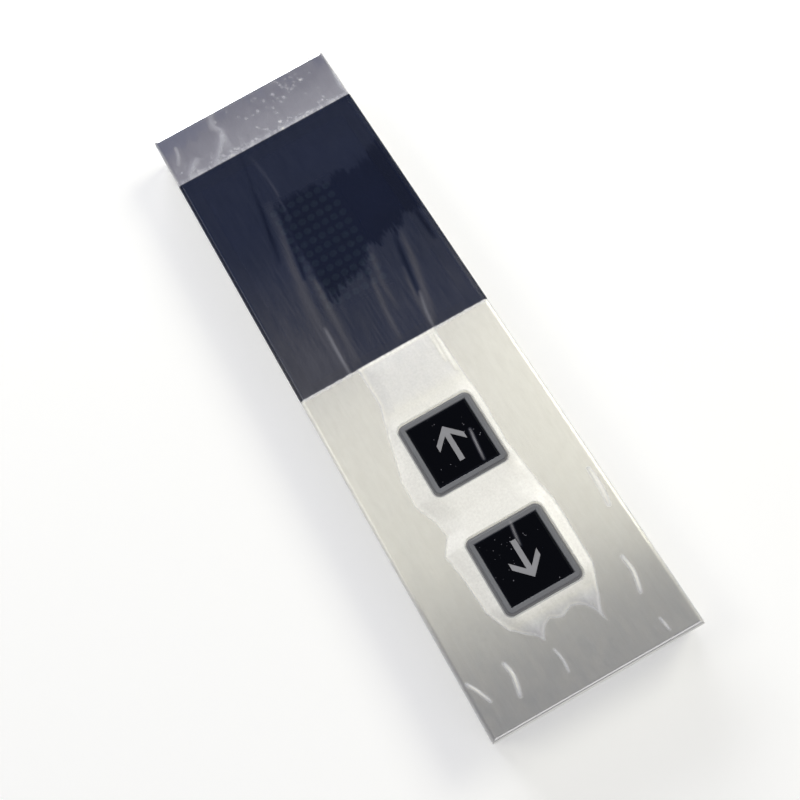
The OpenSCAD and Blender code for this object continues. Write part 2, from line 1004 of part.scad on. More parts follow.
// Down button: the same pieces, with the arrow turned over
module down_bezel() on_face(down_y) bezel();
module down_base() on_face(down_y) base();
module down_switch_board() on_face(down_y) switch_board();
module down_switch_body() on_face(down_y) switch_body();
module down_leds() on_face(down_y) leds();
module down_connector() on_face(down_y) connector();
module down_return_springs() on_face(down_y) return_springs();
module down_cap() on_face(down_y) mirror([0, 1, 0]) cap();
module down_arrow() on_face(down_y) mirror([0, 1, 0]) arrow();
module down_light_guide() on_face(down_y) light_guide();
module down_switch_stem() on_face(down_y) switch_stem();

faceplate();
display_window();
window_tape();
window_carrier();
weld_studs();
stud_nuts();
matrix_reflector();
matrix_lens();
display_board();
board_standoffs();
board_screws();
board_chips();
lead_sockets();
wall_connector();
up_lead();
down_lead();
hanger_bar();
back_plate();
lock_bracket();
cable_grommet();
lock_screws();
up_bezel();
up_base();
up_switch_board();
up_switch_body();
up_leds();
up_connector();
up_return_springs();
up_cap();
up_arrow();
up_light_guide();
up_switch_stem();
down_bezel();
down_base();
down_switch_board();
down_switch_body();
down_leds();
down_connector();
down_return_springs();
down_cap();
down_arrow();
down_light_guide();
down_switch_stem();
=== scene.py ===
"""Looks of the lift landing call panel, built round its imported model. Lengths are in metres."""

import json
import math

import bpy
import numpy as np
from mathutils import Matrix, Vector, noise


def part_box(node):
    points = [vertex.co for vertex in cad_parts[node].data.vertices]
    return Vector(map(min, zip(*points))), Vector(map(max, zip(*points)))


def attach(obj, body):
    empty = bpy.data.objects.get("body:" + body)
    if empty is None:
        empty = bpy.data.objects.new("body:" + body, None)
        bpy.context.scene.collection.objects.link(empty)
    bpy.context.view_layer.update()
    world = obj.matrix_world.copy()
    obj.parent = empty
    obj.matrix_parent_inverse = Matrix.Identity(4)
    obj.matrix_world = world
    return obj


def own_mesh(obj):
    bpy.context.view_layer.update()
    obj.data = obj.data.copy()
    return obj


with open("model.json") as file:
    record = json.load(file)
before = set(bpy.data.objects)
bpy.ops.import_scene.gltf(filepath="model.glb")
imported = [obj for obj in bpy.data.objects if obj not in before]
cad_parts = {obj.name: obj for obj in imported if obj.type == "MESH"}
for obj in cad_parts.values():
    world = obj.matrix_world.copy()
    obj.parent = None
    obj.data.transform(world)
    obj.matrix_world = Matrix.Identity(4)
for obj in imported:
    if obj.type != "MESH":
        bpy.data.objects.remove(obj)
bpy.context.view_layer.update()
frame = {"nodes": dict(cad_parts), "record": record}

MM = 0.001
WHITE = (1.0, 1.0, 1.0)

# Places on the panel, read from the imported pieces
window_low, window_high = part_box("display_window")
face_low, face_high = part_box("faceplate")
FACE_Y = face_low.y
PANEL_W = face_high.x - face_low.x
PANEL_H = face_high.z - face_low.z

# Camera: the photograph's viewpoint, with the panel hanging on the plane y = 0
CAMERA_AT = Vector((-55.2, -445.6, -155.1)) * MM
CAMERA_AIM = Vector((-41.6, -22.0, -2.0)) * MM
CAMERA_ROLL = math.radians(-29.8)
CAMERA_LENS = 43.8
CAMERA_SHIFT_X = 0.1
CAMERA_NEAR = 10 * MM

# Surround: its colour by height, level first and then bluer overhead. Seen by the camera it is plain
# white, and so it is in mirrors and glass, but not for rays that leave forwards of this direction.
WORLD_STRENGTH = 0.29
WORLD_BLEND = ((0.1, (0.88, 0.885, 0.93)), (0.5, (0.71, 0.715, 0.98)))
WORLD_FORWARD = -0.2

# Wall: a pale sheet with a hole a little smaller than the panel, just clear of the plane y = 0
WALL_WHITE = 0.82
WALL_GLOW = 0.24
WALL_REACH = 4.0
WALL_INSET = 2 * MM
WALL_CLEAR = 0.2 * MM

# Softboxes, which the brushed steel spreads along its width: place, aim, size, radiance and tint
WARM = (1.0, 0.98, 0.82)
COOL = (0.97, 0.98, 1.0)
MIDDLE = (0.0, 0.0, 0.0)
LOWER_STEEL = (0.0, FACE_Y, -0.05)
LAMPS = {
    "left_box": ((-0.95, -0.95, 0.33), LOWER_STEEL, (0.5, 0.54), 3.65, WARM),
    "right_box": ((1.15, -0.90, 0.27), LOWER_STEEL, (0.5, 0.66), 7.8, WARM),
    "top_box": ((0.1, -0.45, 1.5), MIDDLE, (1.6, 0.6), 8.0, COOL),
    "floor_box": ((0.1, -0.85, -0.8), MIDDLE, (1.2, 0.5), 1.35, WHITE),
    "low_box": ((1.05, -0.85, -0.28), LOWER_STEEL, (0.5, 0.35), 1.5, WARM),
    "back_box": ((-0.6, 1.2, 0.7), MIDDLE, (0.9, 0.9), 1.6, WHITE),
}


def fill(node, **values):
    """Sets a node's sockets by name, with _ for a space."""
    for key, value in values.items():
        name = key.replace("_", " ").title().replace("Ior", "IOR")
        node.inputs[name].default_value = value


class Nodes:
    """A node tree under construction, with short helpers."""

    def __init__(self, tree):
        self.tree = tree

    def node(self, kind, **settings):
        made = self.tree.nodes.new("ShaderNode" + kind)
        for key, value in settings.items():
            setattr(made, key, value)
        return made

    def link(self, source, target):
        self.tree.links.new(source, target)

    def ramp(self, source, *stops):
        """Colours by value: stops are (place, colour) pairs."""
        made = self.node("ValToRGB")
        points = made.color_ramp.elements
        while len(points) < len(stops):
            points.new(0.5)
        for point, (place, colour) in zip(points, stops):
            point.position = place
            point.color = (*colour, 1.0)
        self.link(source, made.inputs["Fac"])
        return made.outputs["Color"]

    def span(self, source, low, high, start=0.3, end=0.7):
        """Value stretched from start..end to low..high."""
        made = self.node("MapRange")
        fill(made, from_min=start, from_max=end, to_min=low, to_max=high)
        self.link(source, made.inputs["Value"])
        return made.outputs["Result"]

    def math(self, operation, first, second):
        made = self.node("Math", operation=operation)
        for socket, value in zip(made.inputs, (first, second)):
            if isinstance(value, (int, float)):
                socket.default_value = value
            else:
                self.link(value, socket)
        return made.outputs["Value"]

    def mix(self, factor, first, second, output):
        """Ends the tree in a blend of two shaders."""
        made = self.node("MixShader")
        self.link(factor, made.inputs["Fac"])
        self.link(first, made.inputs[1])
        self.link(second, made.inputs[2])
        self.link(made.outputs["Shader"], self.tree.nodes[output].inputs["Surface"])


class Paint(Nodes):
    """A material under construction, with its Principled shader."""

    def __init__(self, name):
        self.material = bpy.data.materials.new(name)
        self.material.use_nodes = True
        super().__init__(self.material.node_tree)
        self.shader = self.tree.nodes["Principled BSDF"]

    def set(self, **values):
        """Sets the shader's sockets by name, with _ for a space."""
        fill(self.shader, **values)

    def feed(self, name, source):
        self.link(source, self.shader.inputs[name])

    def mix_with(self, factor, first, second):
        self.mix(factor, first.outputs["BSDF"], second.outputs["BSDF"], "Material Output")

    def place(self, per_metre):
        """Coordinates on the piece, scaled to so many pattern units per metre along x, y and z."""
        coords = self.node("TexCoord")
        scale = self.node("Mapping")
        fill(scale, scale=per_metre)
        self.link(coords.outputs["Object"], scale.inputs["Vector"])
        return scale.outputs["Vector"]

    def place_on_face(self, per_metre):
        """Coordinates across and up the panel, for flat patterns on its boards."""
        coords = self.node("TexCoord")
        split = self.node("SeparateXYZ")
        flat = self.node("CombineXYZ")
        made = self.node("VectorMath", operation="MULTIPLY")
        self.link(coords.outputs["Object"], split.inputs["Vector"])
        self.link(split.outputs["X"], flat.inputs["X"])
        self.link(split.outputs["Z"], flat.inputs["Y"])
        self.link(flat.outputs["Vector"], made.inputs[0])
        made.inputs[1].default_value = (per_metre,) * 3
        return made.outputs["Vector"]

    def noise(self, per_metre, detail=3.0, rough=0.55):
        made = self.node("TexNoise")
        fill(made, scale=1.0, detail=detail, roughness=rough)
        self.link(self.place(per_metre), made.inputs["Vector"])
        return made.outputs["Fac"]

    def cells(self, per_metre):
        """Distances to the middles of scattered cells, and a chance value for each cell."""
        made = self.node("TexVoronoi", feature="F1")
        fill(made, scale=1.0)
        self.link(self.place(per_metre), made.inputs["Vector"])
        chance = self.node("RGBToBW")
        self.link(made.outputs["Color"], chance.inputs["Color"])
        return made.outputs["Distance"], chance.outputs["Val"]

    def bump(self, height, depth, strength=1.0):
        """Relief of so many metres on the shader's normal."""
        made = self.node("Bump")
        fill(made, distance=depth, strength=strength)
        self.link(height, made.inputs["Height"])
        self.feed("Normal", made.outputs["Normal"])
        return made

    def round_edges(self, radius, relief=None):
        """Softens sharp edges in the shading, before any relief."""
        made = self.node("Bevel", samples=4)
        fill(made, radius=radius)
        target = relief if relief else self.shader
        self.link(made.outputs["Normal"], target.inputs["Normal"])


def even(per_mm):
    """The same pattern scale along all three axes, from units per millimetre."""
    return (per_mm / MM,) * 3


def shade(colour, factor):
    return tuple(min(1.0, part * factor) for part in colour)


# Clouds and fine unevenness of a plain finish, in units per grain, and how far its gloss varies
CLOUD_SCALE = 1 / 12
FINE_SCALE = 4
GLOSS_SPREAD = 0.15


def mottled(name, colour, rough, metallic=0.0, grain=1.5, spread=0.12, relief=0.004 * MM):
    """A plain finish with the small unevenness of a moulded, plated or painted surface."""
    paint = Paint(name)
    cloud = paint.noise(even(grain * CLOUD_SCALE), detail=4)
    fine = paint.noise(even(grain * FINE_SCALE), detail=2)
    tone = paint.ramp(cloud, (0.3, shade(colour, 1 - spread)), (0.7, shade(colour, 1 + spread)))
    paint.feed("Base Color", tone)
    gloss = paint.span(fine, rough * (1 - GLOSS_SPREAD), rough * (1 + GLOSS_SPREAD))
    paint.feed("Roughness", gloss)
    paint.set(metallic=metallic)
    return paint, paint.bump(fine, relief)


def plain(name, colour, rough, **more):
    """A finish maker for small and inner pieces."""
    return lambda: mottled(name, colour, rough, **more)[0].material


def stainless():
    """Hairline steel: lines along the length spread reflections across the width."""
    paint = Paint("stainless")
    hair = paint.noise((5200, 5200, 60), detail=2)
    streak = paint.noise((1100, 1100, 9), detail=3)
    grit = paint.noise(even(1.6), detail=2)
    lines = paint.math("ADD", paint.math("MULTIPLY", hair, 0.7), paint.math("MULTIPLY", streak, 0.3))
    tone = paint.ramp(lines, (0.34, (0.685, 0.68, 0.665)), (0.66, (0.725, 0.72, 0.705)))
    paint.feed("Base Color", tone)
    worn = paint.math("ADD", paint.span(hair, 0.325, 0.355), paint.span(grit, -0.015, 0.015))
    paint.feed("Roughness", worn)
    paint.set(metallic=1.0, anisotropic=1.0)
    across = paint.node("Tangent", direction_type="RADIAL", axis="Z")
    paint.feed("Tangent", across.outputs["Tangent"])
    relief = paint.math("ADD", lines, paint.math("MULTIPLY", grit, 0.6))
    paint.bump(relief, 0.0015 * MM, 0.2)
    return paint.material


def smoked_acrylic():
    """Dark acrylic that lets a little of the display through."""
    paint = Paint("smoked_acrylic")
    cloud = paint.noise(even(0.03), detail=3)
    tone = paint.ramp(cloud, (0.3, (0.004, 0.008, 0.026)), (0.7, (0.006, 0.011, 0.036)))
    paint.feed("Base Color", tone)
    smear = paint.noise((60, 60, 18), detail=4)
    paint.feed("Roughness", paint.span(smear, 0.05, 0.13))
    paint.set(ior=1.49, alpha=0.62)
    paint.round_edges(0.25 * MM)
    return paint.material


def galvanised():
    """Zinc spangle: flat crystals of slightly different grey."""
    paint = Paint("galvanised")
    _, grey = paint.cells(even(0.22))
    tone = paint.ramp(grey, (0.2, (0.46, 0.475, 0.49)), (0.8, (0.64, 0.655, 0.67)))
    paint.feed("Base Color", tone)
    paint.feed("Roughness", paint.span(grey, 0.36, 0.52, 0.2, 0.8))
    paint.set(metallic=0.9)
    fine = paint.noise(even(6), detail=2)
    paint.round_edges(0.3 * MM, paint.bump(fine, 0.004 * MM))
    return paint.material


def circuit_board():
    """Solder mask over faint tracks."""
    paint = Paint("circuit_board")
    tracks = paint.node("TexBrick")
    fill(tracks, color1=(0.016, 0.095, 0.05, 1.0), color2=(0.02, 0.11, 0.058, 1.0))
    fill(tracks, mortar=(0.05, 0.2, 0.1, 1.0), mortar_size=0.03)
    fill(tracks, scale=1.0, brick_width=1.3, row_height=0.22)
    paint.link(paint.place_on_face(0.18 / MM), tracks.inputs["Vector"])
    paint.feed("Base Color", tracks.outputs["Color"])
    fine = paint.noise(even(5), detail=2)
    paint.feed("Roughness", paint.span(fine, 0.28, 0.4))
    paint.bump(tracks.outputs["Fac"], 0.02 * MM, 0.3)
    return paint.material


def bezel_grey():
    """Satin grey moulding with a fine spark-eroded grain."""
    colour = (0.176, 0.178, 0.185)
    paint, relief = mottled("bezel_grey", colour, 0.4, grain=1.2, spread=0.07, relief=0.006 * MM)
    paint.set(specular_ior_level=0.3)
    paint.round_edges(0.25 * MM, relief)
    return paint.material


def cap_black():
    """Polished black with a little dust."""
    paint = Paint("cap_black")
    distance, chance = paint.cells(even(0.9))
    patch = paint.span(paint.noise(even(0.11), detail=2), 0.35, 1.0, 0.42, 0.58)
    size = paint.math("MULTIPLY", paint.span(chance, 0.0, 0.34, 0.45, 0.75), patch)
    dusty = paint.math("LESS_THAN", distance, size)
    tone = paint.ramp(dusty, (0.0, (0.0008, 0.0009, 0.0016)), (1.0, (0.14, 0.14, 0.16)))
    paint.feed("Base Color", tone)
    smear = paint.noise(even(0.12), detail=4)
    paint.feed("Roughness", paint.span(smear, 0.07, 0.16))
    paint.set(specular_ior_level=0.05)
    paint.round_edges(0.3 * MM)
    return paint.material


FINISHES = {
    "stainless": stainless,
    "smoked_acrylic": smoked_acrylic,
    "tape": plain("tape", (0.03, 0.03, 0.032), 0.8, grain=3),
    "galvanised": galvanised,
    "black_coat": plain("black_coat", (0.014, 0.014, 0.016), 0.55, grain=2.5, relief=0.02 * MM),
    "coppered_steel": plain("coppered_steel", (0.50, 0.33, 0.22), 0.35, metallic=1.0),
    "zinc_plate": plain("zinc_plate", (0.62, 0.63, 0.64), 0.28, metallic=1.0, grain=3),
    "black_plastic": plain("black_plastic", (0.016, 0.016, 0.018), 0.45, grain=2),
    "resin": plain("resin", (0.27, 0.40, 0.42), 0.3, grain=1, spread=0.06),
    "circuit_board": circuit_board,
    "chip_epoxy": plain("chip_epoxy", (0.022, 0.022, 0.024), 0.6, grain=4),
    "connector_nylon": plain("connector_nylon", (0.74, 0.70, 0.60), 0.42, spread=0.05),
    "lead_sleeve": plain("lead_sleeve", (0.62, 0.59, 0.50), 0.48, spread=0.06),
    "rubber": plain("rubber", (0.014, 0.014, 0.015), 0.7, grain=3, relief=0.02 * MM),
    "bezel_grey": bezel_grey,
    "cap_black": cap_black,
    "arrow_grey": plain("arrow_grey", (0.29, 0.29, 0.305), 0.32, grain=1.2, spread=0.08),
    "guide_white": plain("guide_white", (0.78, 0.79, 0.77), 0.35, spread=0.04),
    "stem_red": plain("stem_red", (0.36, 0.035, 0.028), 0.4),
    "spring_steel": plain("spring_steel", (0.56, 0.57, 0.58), 0.25, metallic=1.0),
}


def dress_nodes():
    """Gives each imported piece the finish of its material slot."""
    made = {}
    for part in frame["record"]["subparts"]:
        slot = part["material_slot"]
        if slot not in made:
            made[slot] = FINISHES[slot]()
        piece = frame["nodes"][part["node"]]
        piece.data.materials.clear()
        piece.data.materials.append(made[slot])


# Protective film, in millimetres: x from the face's middle, y down from its top edge.
# It stands FILM_GAP off the face, ends short of the panel's ends and is folded over its long edges.
WINDOW_TOP = (face_high.z - window_high.z) / MM
WINDOW_FOOT = (face_high.z - window_low.z) / MM
BEZEL_RISE = (FACE_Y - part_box("down_bezel")[0].y) / MM
BEZEL_CORNER = 3.2
LEDGE_WIDTH = 1.0
FILM_GAP = 0.12
FILM_END = 1.2
FILM_OVERLAP = 5.0
FILM_BEND = 2.0
FILM_STEP_X = 0.5
FILM_STEP_Y = 0.6
TINY = 0.01

# Each crease is its line, its half width, its height and how white it is; below 0 it is clear.
CREASES = [
    ([(-17, -1), (-19, 9), (-17, 15.5), (-21.5, 23.5), (-28, 31)], 1.7, 0.6, 0.20),
    ([(-17, 17), (-17, 22), (-18, 31)], 1.5, 0.4, 0.07),
    ([(-41.5, 9), (-42.5, 15), (-45, 21)], 1.0, 0.5, 0.20),
    ([(-34, 21.5), (-43, 30)], 2.0, 0.4, 0.16),
    ([(49, 14), (48, 29)], 0.9, 0.5, 0.22),
    ([(-15.7, 64), (-16.8, 82), (-20.2, 99), (-22.7, 116), (-24.3, 132), (-25.7, 165)],
     2.5, 0.5, 0.032),
    ([(-22.7, 139), (-23.3, 153), (-23.6, 169)], 0.8, 0.3, 0.13),
    ([(-14.7, 33), (-17, 48), (-19, 59)], 0.8, 0.2, -0.5),
    ([(-18.6, 56), (-20.5, 70), (-23, 84), (-25.2, 99)], 1.1, 0.2, -1.0),
    ([(-11.8, 70), (-15.2, 89), (-17.7, 106), (-19.3, 113)], 1.1, 0.2, -1.0),
    ([(-11, 35), (-9, 54), (-9.3, 69), (-11, 83)], 0.9, 0.3, 0.022),
    ([(-14, 107), (-15.7, 122), (-16.7, 142), (-17.7, 165)], 1.7, 0.4, 0.034),
    ([(16.5, 112), (14.3, 121), (12.3, 132), (11.3, 150)], 1.6, 0.4, 0.026),
    ([(8.3, 115), (7.7, 131)], 0.8, 0.2, -0.7),
    ([(9.3, 126), (6.5, 146), (4.8, 165)], 1.3, 0.4, 0.034),
    ([(29.8, 113), (26.5, 131), (23.7, 150)], 1.3, 0.2, -0.9),
    ([(33.2, 113), (30.3, 131), (26.5, 149), (23.2, 165)], 1.6, 0.5, 0.036),
    ([(25, 146), (22.5, 157), (21, 169)], 0.8, 0.3, 0.11),
    ([(24.8, 131), (22.3, 146), (20.7, 165)], 1.1, 0.4, 0.03),
    ([(44.8, 105), (45.2, 127)], 1.2, 0.2, -1.0),
    ([(-48, 310), (-45, 315), (-42, 322)], 0.7, 0.6, 0.65),
    ([(-30, 310), (-29, 317), (-31, 326)], 0.9, 0.7, 0.65),
    ([(-9, 315), (-8, 321), (-8.5, 327)], 0.6, 0.4, 0.45),
    ([(36, 296), (36.5, 305), (34, 314)], 0.8, 0.4, 0.75),
    ([(45, 257), (45, 267), (43.5, 277)], 1.0, 0.12, 0.9),
    ([(35, 325), (36, 332)], 0.6, 0.4, 0.45),
    ([(20, 168), (19.5, 190)], 0.7, 0.5, 0.6),
    ([(18, 168), (17.5, 184)], 0.6, 0.4, 0.45),
    ([(10, 217), (9, 224), (8, 233)], 0.5, 0.3, 0.3),
    ([(3.5, 261), (2.5, 266), (1.5, 273)], 0.5, 0.3, 0.22),
]
# Points along a crease, how many half widths it reaches sideways, and the forms of its slope and ends
CREASE_POINTS = 240
CREASE_REACH = 4
CREASE_SHARPNESS = 1.5
CREASE_TAPER = 0.6

# Where the film stands off the steel round the buttons: its left and right limits going down, and
# its lower limit going right
LIFT_LEFT = [(168, -19), (187, -19), (203, -23), (223, -28), (236, -28), (246, -24), (254, -23),
             (261, -28), (274, -26), (290, -25), (304, -19), (312, -12)]
LIFT_RIGHT = [(168, 21), (209, 22), (230, 21), (249, 23), (268, 25), (293, 24), (304, 20),
              (312, 16)]
LIFT_FOOT = [(-21, 300), (-15, 305.5), (-12, 308), (-10.2, 311), (-9, 308.5), (-7, 306),
             (-3.5, 304), (1.5, 306), (6.5, 304), (10, 305), (12.3, 307), (14.5, 310.5),
             (16.5, 317), (17.5, 312), (18.5, 307.5), (22.5, 297)]
# Where the film clings to the window and is clear: its left limit, and its upper and lower limits
# going right
CLING_LEFT = -14
CLING_TOP = [(-14, 72), (-8, 68), (10, 70), (30, 70), (44, 66), (50, 62)]
CLING_FOOT = [(-14, 128), (0, 124), (8, 121), (16, 114), (30, 112), (40, 106), (50, 108)]
# Specks of air and dust: the middle of each patch, its spread, their number and the seed
BUBBLES = [
    ((26, 9), (6, 4), 26, 4),
    ((12, 13), (18, 7), 30, 9),
    ((8, 28), (24, 1.6), 44, 6),
]
BUBBLE_SIZES = (0.35, 0.7)
BUBBLE_WHITE = 0.35
BUBBLE_SHARES = (0.4, 1.0)

# Roughness of the film's patterns: waves per millimetre across and down, and size in millimetres.
# LIFT_ROUGHNESS and CLING_ROUGHNESS are the shares of it on the limits above.
EDGE_NOISE = (0.35, 0.12, 2.2)
FINE_NOISE = (0.9, 0.05, 1.0)
FINE_SHIFT = 7
WAVE_NOISE = (0.12, 0.018, 0.04)
FRACTAL = (0.6, 2.0, 4)
LIFT_ROUGHNESS = 0.12
CLING_ROUGHNESS = 5

# The bridge from bezel to steel: the rounding at its foot, and its sag, less near the middle line
BRIDGE_ROUNDING = 1.5
BRIDGE_SAG = 0.6
BRIDGE_SAG_LESS = 0.45

# Whiteness of the film, from 0, clear, to 1, and how gradually it changes at a piece's edge
SOFT_EDGE = 0.5
HAZE_LIMIT = 0.95
WINDOW_HAZE = 0.021
WINDOW_FOOT_HAZE = 0.055
WINDOW_RIGHT_LESS = 0.032
WINDOW_VARIES = 0.25
CLING_CLEARS = 0.9
STRIP_HAZE = 0.025
# Partly the film's haze, partly painted light: the strip is whitened towards the window and the
# right, where its steel reflects more light
STRIP_FOOT_HAZE_AND_PAINTED_LIGHT = 0.1
STRIP_RIGHT_HAZE_AND_PAINTED_LIGHT = 0.03
# Painted highlight: film whitened in a line along the strip's lower edge, standing for the light its
# edge catches there
STRIP_EDGE_HIGHLIGHT = 0.22
STRIP_EDGE_HIGHLIGHT_VARIES = 0.2
PLATE_HAZE = 0.05
# Painted highlight: film whitened in a line along the steel's edge below the window, standing for the
# light that edge catches
PLATE_EDGE_HIGHLIGHT = 0.35
PLATE_EDGE_HIGHLIGHT_VARIES = 0.1
STEEL_VARIES = 0.012
STEEL_LEAST = 0.003
HALO_WHITE = 0.42
HALO_FOOT_LESS = 0.75
HALO_RIM = 0.2
BEZEL_HAZE = 0.02
# Painted light: film whitened over the bezels' outer ledge, lifting the shade at the step of the rim
LEDGE_PAINTED_LIGHT = 0.04
CAP_HAZE = 0.001


def limit(places, at):
    """A limit drawn through (place, value) pairs, read at many places."""
    return np.interp(at, [p[0] for p in places], [p[1] for p in places])


def ragged(x, y, scale_x, scale_y, size):
    """A rough edge: fixed noise of a given size in millimetres at each point."""
    rough = [noise.fractal(Vector((a * scale_x, b * scale_y, 0.0)), *FRACTAL)
             for a, b in zip(x.ravel(), y.ravel())]
    return size * np.array(rough).reshape(x.shape)


def fade(value, middle, width):
    """From 0 to 1 as the value passes the middle, over a width."""
    t = np.clip((value - middle) / width + 0.5, 0.0, 1.0)
    return t * t * (3 - 2 * t)


def ridge(value, middle, width):
    """1 at the middle, and less to both sides of it."""
    return np.exp(-((value - middle) / width) ** 2)


def rounded_least(*gaps):
    """The least of some distances, without the ridges of a plain minimum."""
    least = np.minimum.reduce(gaps)
    blend = sum(np.clip(gap, TINY, None) ** -3 for gap in gaps) ** (-1 / 3)
    return np.where(least > 0, blend, least)


def crease_line(points):
    """Points along a smooth line through the given ones."""
    ends = np.array([points[0], *points, points[-1]], float)
    spans = len(points) - 1
    line = []
    for i in range(spans):
        a, b, c, d = ends[i:i + 4]
        for t in np.linspace(0, 1, CREASE_POINTS // spans):
            line.append(0.5 * (2 * b + (c - a) * t + (2 * a - 5 * b + 4 * c - d) * t ** 2
                               + (3 * b - 3 * c + d - a) * t ** 3))
    return np.array(line)


def add_crease(x, y, height, haze, crease):
    """Raises the film along a line that tapers at both ends, and whitens or clears it there."""
    points, width, rise, white = crease
    line = crease_line(points)
    reach = CREASE_REACH * width
    low, high = line.min(0) - reach, line.max(0) + reach
    near = (x > low[0]) & (x < high[0]) & (y > low[1]) & (y < high[1])
    spot = np.stack([x[near], y[near]], 1)
    gaps = np.linalg.norm(spot[:, None, :] - line[None, :, :], axis=2)
    along = gaps.argmin(1) / (len(line) - 1)
    taper = np.clip(4 * along * (1 - along), 0, 1) ** CREASE_TAPER
    gap = gaps.min(1) / width
    height[near] += rise * taper * np.clip(1 - gap / 2, 0, 1) ** CREASE_SHARPNESS
    crest = taper * ridge(gap, 0, 1)
    if white < 0:
        haze[near] *= 1 + white * crest
    else:
        haze[near] += white * crest


def add_bubbles(x, y, haze, middle, reach, count, seed):
    """Specks of air and dust under the film, scattered round a place."""
    spread = np.random.default_rng(seed)
    for _ in range(count):
        at_x, at_y = spread.normal(middle, reach)
        size = spread.uniform(*BUBBLE_SIZES)
        gap = np.hypot(x - at_x, y - at_y)
        haze += BUBBLE_WHITE * spread.uniform(*BUBBLE_SHARES) * ridge(gap, 0, size)


def button_places(x, y):
    """Distance outside the nearest bezel, below 0 on it, and 1 on a cap, at points of the face."""
    out_of_bezel = np.full(x.shape, np.inf)
    on_cap = np.zeros(x.shape)
    for button in ("up", "down"):
        low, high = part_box(button + "_bezel")
        cap_low, cap_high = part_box(button + "_cap")
        off_x = abs(x - (low.x + high.x) / 2 / MM)
        off_y = abs(y - (face_high.z - (low.z + high.z) / 2) / MM)
        straight = (high.x - low.x) / 2 / MM - BEZEL_CORNER
        corner = np.hypot(np.clip(off_x - straight, 0, None), np.clip(off_y - straight, 0, None))
        out_of_bezel = np.minimum(out_of_bezel, corner - BEZEL_CORNER)
        inside_cap = (cap_high.x - cap_low.x) / 2 / MM - np.maximum(off_x, off_y)
        on_cap = np.maximum(on_cap, fade(inside_cap, 0, 0.6))
    return out_of_bezel, on_cap


def film_height(x, inside, off_bezel):
    """Height over the face: level on the bezels, bridging from them to the limits of the lift."""
    slope = np.clip(inside, 0, None)
    slope = slope ** 2 / (slope + BRIDGE_ROUNDING)
    sag = off_bezel * (BRIDGE_SAG - BRIDGE_SAG_LESS * fade(-abs(x), -16, 8))
    bridge = BEZEL_RISE * slope / np.maximum(slope + sag, TINY)
    return FILM_GAP + np.where(off_bezel <= 0, BEZEL_RISE, bridge)


def window_haze(x, y, edge, fine):
    """Thin over the window, thicker towards its foot and left, and gone where the film clings."""
    cling = np.minimum(y - limit(CLING_TOP, x), limit(CLING_FOOT, x) - y)
    cling = np.minimum(cling + CLING_ROUGHNESS * fine, x - CLING_LEFT) + edge
    foot_haze = WINDOW_FOOT_HAZE - WINDOW_RIGHT_LESS * fade(x, -22, 30)
    haze = WINDOW_HAZE + foot_haze * fade(y, 125, 110)
    return haze * (1 - CLING_CLEARS * fade(cling, 0, 3)) * (1 + WINDOW_VARIES * fine)


def strip_haze_and_painted_light(x, y, edge, fine):
    """Over the top strip: whiter towards the window and the right, with a painted highlight along its
    edge at the window.
    """
    haze = STRIP_HAZE + STEEL_VARIES * edge
    # Whiter towards the window and the right: partly haze, partly a painted brightening where the
    # steel reflects more light
    haze += STRIP_FOOT_HAZE_AND_PAINTED_LIGHT * fade(y, 16, 24) + STRIP_RIGHT_HAZE_AND_PAINTED_LIGHT * fade(x, -25, 40)
    # Painted highlight along the strip's lower edge, where it meets the window
    return haze + (STRIP_EDGE_HIGHLIGHT + STRIP_EDGE_HIGHLIGHT_VARIES * fine) * ridge(y, WINDOW_TOP, 2)


def plate_haze_and_highlight(y, lifted, edge, on_bezel):
    """Over the lower plate: white where the film stands off, with a rim, and a painted highlight
    along the window's foot.
    """
    white = HALO_WHITE * (1 + fade(y, 196, 20)) * (1 - HALO_FOOT_LESS * fade(y, 301, 16))
    haze = PLATE_HAZE + white * fade(lifted, 0, 2.2) * (1 - on_bezel) + STEEL_VARIES * edge
    haze += HALO_RIM * ridge(lifted, 0.5, 0.7) * (y > WINDOW_FOOT)
    # Painted highlight along the steel's edge just below the window
    return haze + (PLATE_EDGE_HIGHLIGHT + PLATE_EDGE_HIGHLIGHT_VARIES * edge) * ridge(y, WINDOW_FOOT + 0.4, 0.9)


